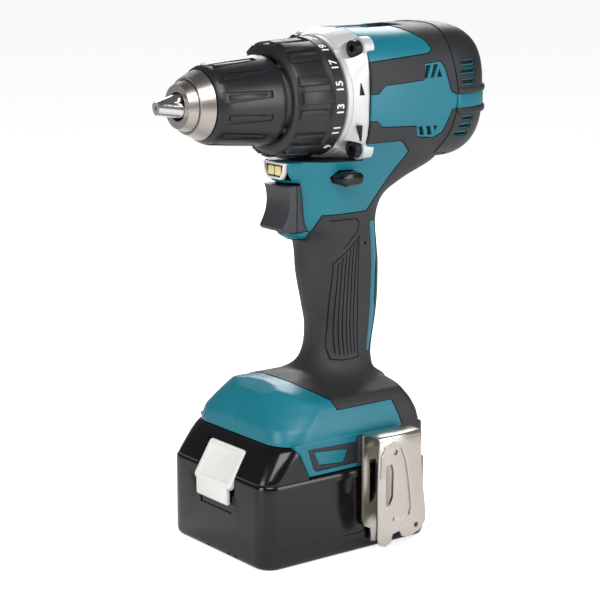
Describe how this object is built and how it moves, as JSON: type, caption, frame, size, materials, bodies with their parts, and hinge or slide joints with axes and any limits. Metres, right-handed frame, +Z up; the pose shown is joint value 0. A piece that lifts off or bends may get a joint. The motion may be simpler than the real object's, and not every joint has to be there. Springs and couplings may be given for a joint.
{
  "type": "cordless drill driver",
  "caption": "Pistol-grip cordless drill driver with a keyless chuck, torque collar, planetary gearbox, brushless motor, slide-on battery and belt hook.",
  "frame": {"origin": "on the plane of the battery's flat base, in the tool's middle plane, below the joint between gear case and housings", "axes": "+X along the spindle out of the chuck, +Y to the tool's left, +Z up"},
  "size_m": [0.1804, 0.0955, 0.2438],
  "materials": {
    "teal_shell": "satin",
    "rubber_grip": "soft matte",
    "black_plastic": "fine grain",
    "gloss_black": "gloss",
    "cast_alloy": "fine cast",
    "steel": "ground",
    "dark_steel": "black oxide",
    "hook_steel": "satin nickel",
    "jaw_steel": "ground",
    "laminations": "stacked sheet",
    "copper": "enamelled wire",
    "brass": "turned",
    "board": "solder mask",
    "lens": "clear",
    "button_white": "fine grain",
    "cell_wrap": "shrink wrap",
    "potting": "cast resin",
    "button_red": "fine grain"
  },
  "bodies": {
    "housing": {"housing_left": "teal_shell", "housing_right": "teal_shell", "grip_left": "rubber_grip", "grip_right": "rubber_grip", "rear_cover": "black_plastic", "housing_screws": "dark_steel", "gear_case": "cast_alloy", "gear_case_screws": "dark_steel", "ring_gear_1": "steel", "clutch_ring": "steel", "clutch_pins": "steel", "clutch_spring": "steel", "spindle_bearing": "steel", "tail_plate": "black_plastic", "stator_core": "laminations", "stator_coils": "copper", "motor_bearings": "steel", "switch_body": "black_plastic", "lamp_lens": "lens", "controller": "potting", "terminal_block": "brass", "belt_hook": "hook_steel", "hook_screw": "hook_steel", "hook_inserts": "brass"},
    "rotor": {"rotor_shaft": "steel", "rotor_core": "dark_steel", "fan": "black_plastic"},
    "first_carrier": {"carrier_1": "steel"},
    "second_carrier": {"carrier_2": "steel"},
    "spindle": {"spindle": "steel", "chuck_body": "hook_steel", "chuck_screw": "dark_steel"},
    "sleeve": {"chuck_sleeve": "black_plastic", "nose_ring": "hook_steel", "chuck_nut": "steel"},
    "collar": {"torque_collar": "black_plastic"},
    "tension_nut": {"adjust_nut": "steel"},
    "gear_shift": {"speed_selector": "black_plastic", "shift_wire": "steel", "ring_gear_2": "steel"},
    "trigger": {"trigger": "black_plastic"},
    "direction_lever": {"direction_lever": "gloss_black"},
    "battery": {"battery_case": "gloss_black", "battery_lid": "gloss_black", "battery_cells": "cell_wrap", "battery_board": "board"},
    "release_button": {"battery_button": "button_white"},
    "gauge_button": {"gauge_button": "button_red"},
    "planet_1_0": {"planet_1_0": "steel"},
    "planet_1_1": {"planet_1_1": "steel"},
    "planet_1_2": {"planet_1_2": "steel"},
    "planet_2_0": {"planet_2_0": "steel"},
    "planet_2_1": {"planet_2_1": "steel"},
    "planet_2_2": {"planet_2_2": "steel"},
    "planet_3_0": {"planet_3_0": "steel"},
    "planet_3_1": {"planet_3_1": "steel"},
    "planet_3_2": {"planet_3_2": "steel"},
    "jaw_0": {"jaw_0": "jaw_steel"},
    "jaw_1": {"jaw_1": "jaw_steel"},
    "jaw_2": {"jaw_2": "jaw_steel"}
  },
  "joints": [
    {"name": "rotor_spin", "type": "hinge", "parent": "housing", "child": "rotor", "pos_m": [-0.05, 0, 0.211], "axis": [1, 0, 0], "continuous": true},
    {"name": "spindle_spin", "type": "hinge", "parent": "housing", "child": "spindle", "pos_m": [0.03, 0, 0.211], "axis": [1, 0, 0], "continuous": true},
    {"name": "first_carrier_spin", "type": "hinge", "parent": "housing", "child": "first_carrier", "pos_m": [-0.02, 0, 0.211], "axis": [1, 0, 0], "continuous": true},
    {"name": "second_carrier_spin", "type": "hinge", "parent": "housing", "child": "second_carrier", "pos_m": [-0.01, 0, 0.211], "axis": [1, 0, 0], "continuous": true},
    {"name": "planet_1_0_spin", "type": "hinge", "parent": "first_carrier", "child": "planet_1_0", "pos_m": [-0.0235, 0, 0.199], "axis": [1, 0, 0], "continuous": true},
    {"name": "planet_1_1_spin", "type": "hinge", "parent": "first_carrier", "child": "planet_1_1", "pos_m": [-0.0235, 0.01039, 0.217], "axis": [1, 0, 0], "continuous": true},
    {"name": "planet_1_2_spin", "type": "hinge", "parent": "first_carrier", "child": "planet_1_2", "pos_m": [-0.0235, -0.01039, 0.217], "axis": [1, 0, 0], "continuous": true},
    {"name": "planet_2_0_spin", "type": "hinge", "parent": "second_carrier", "child": "planet_2_0", "pos_m": [-0.0145, 0, 0.199], "axis": [1, 0, 0], "continuous": true},
    {"name": "planet_2_1_spin", "type": "hinge", "parent": "second_carrier", "child": "planet_2_1", "pos_m": [-0.0145, 0.01039, 0.217], "axis": [1, 0, 0], "continuous": true},
    {"name": "planet_2_2_spin", "type": "hinge", "parent": "second_carrier", "child": "planet_2_2", "pos_m": [-0.0145, -0.01039, 0.217], "axis": [1, 0, 0], "continuous": true},
    {"name": "planet_3_0_spin", "type": "hinge", "parent": "spindle", "child": "planet_3_0", "pos_m": [-0.006, 0, 0.199], "axis": [1, 0, 0], "continuous": true},
    {"name": "planet_3_1_spin", "type": "hinge", "parent": "spindle", "child": "planet_3_1", "pos_m": [-0.006, 0.01039, 0.217], "axis": [1, 0, 0], "continuous": true},
    {"name": "planet_3_2_spin", "type": "hinge", "parent": "spindle", "child": "planet_3_2", "pos_m": [-0.006, -0.01039, 0.217], "axis": [1, 0, 0], "continuous": true},
    {"name": "sleeve_turn", "type": "hinge", "parent": "spindle", "child": "sleeve", "pos_m": [0.06, 0, 0.211], "axis": [1, 0, 0], "range_deg": [0, 2880]},
    {"name": "jaw_0_slide", "type": "slide", "parent": "spindle", "child": "jaw_0", "axis": [-0.9613, 0, 0.2756], "range_m": [0, 0.0205]},
    {"name": "jaw_1_slide", "type": "slide", "parent": "spindle", "child": "jaw_1", "axis": [-0.9613, -0.2387, -0.1378], "range_m": [0, 0.0205]},
    {"name": "jaw_2_slide", "type": "slide", "parent": "spindle", "child": "jaw_2", "axis": [-0.9613, 0.2387, -0.1378], "range_m": [0, 0.0205]},
    {"name": "collar_turn", "type": "hinge", "parent": "housing", "child": "collar", "pos_m": [0.02, 0, 0.211], "axis": [1, 0, 0], "range_deg": [0, 300]},
    {"name": "tension_nut_slide", "type": "slide", "parent": "collar", "child": "tension_nut", "axis": [1, 0, 0], "range_m": [0, 0.0024]},
    {"name": "speed_shift", "type": "slide", "parent": "housing", "child": "gear_shift", "axis": [1, 0, 0], "range_m": [-0.003, 0]},
    {"name": "trigger_pull", "type": "slide", "parent": "housing", "child": "trigger", "axis": [-1, 0, 0], "range_m": [0, 0.006], "stiffness_N_per_m": 700, "springref_m": -0.002},
    {"name": "direction_switch", "type": "slide", "parent": "housing", "child": "direction_lever", "axis": [0, 1, 0], "range_m": [-0.003, 0.003]},
    {"name": "battery_slide", "type": "slide", "parent": "housing", "child": "battery", "axis": [1, 0, 0], "range_m": [0, 0.1]},
    {"name": "button_press", "type": "slide", "parent": "battery", "child": "release_button", "axis": [0, 0, -1], "range_m": [0, 0.0036], "stiffness_N_per_m": 900, "springref_m": -0.001},
    {"name": "gauge_press", "type": "slide", "parent": "battery", "child": "gauge_button", "axis": [1, 0, 0], "range_m": [0, 0.0005], "stiffness_N_per_m": 900, "springref_m": -0.0005}
  ],
  "couplings": [
    {"joint": "spindle_spin", "follows": "rotor_spin", "ratio": 0.015625},
    {"joint": "first_carrier_spin", "follows": "rotor_spin", "ratio": 0.25},
    {"joint": "second_carrier_spin", "follows": "rotor_spin", "ratio": 0.0625},
    {"joint": "planet_1_0_spin", "follows": "rotor_spin", "ratio": -0.75},
    {"joint": "planet_1_1_spin", "follows": "rotor_spin", "ratio": -0.75},
    {"joint": "planet_1_2_spin", "follows": "rotor_spin", "ratio": -0.75},
    {"joint": "planet_2_0_spin", "follows": "rotor_spin", "ratio": -0.1875},
    {"joint": "planet_2_1_spin", "follows": "rotor_spin", "ratio": -0.1875},
    {"joint": "planet_2_2_spin", "follows": "rotor_spin", "ratio": -0.1875},
    {"joint": "planet_3_0_spin", "follows": "rotor_spin", "ratio": -0.046875},
    {"joint": "planet_3_1_spin", "follows": "rotor_spin", "ratio": -0.046875},
    {"joint": "planet_3_2_spin", "follows": "rotor_spin", "ratio": -0.046875},
    {"joint": "jaw_0_slide", "follows": "sleeve_turn", "m_per_rad": 0.00040743},
    {"joint": "jaw_1_slide", "follows": "sleeve_turn", "m_per_rad": 0.00040743},
    {"joint": "jaw_2_slide", "follows": "sleeve_turn", "m_per_rad": 0.00040743},
    {"joint": "tension_nut_slide", "follows": "collar_turn", "m_per_rad": 0.00043927}
  ]
}
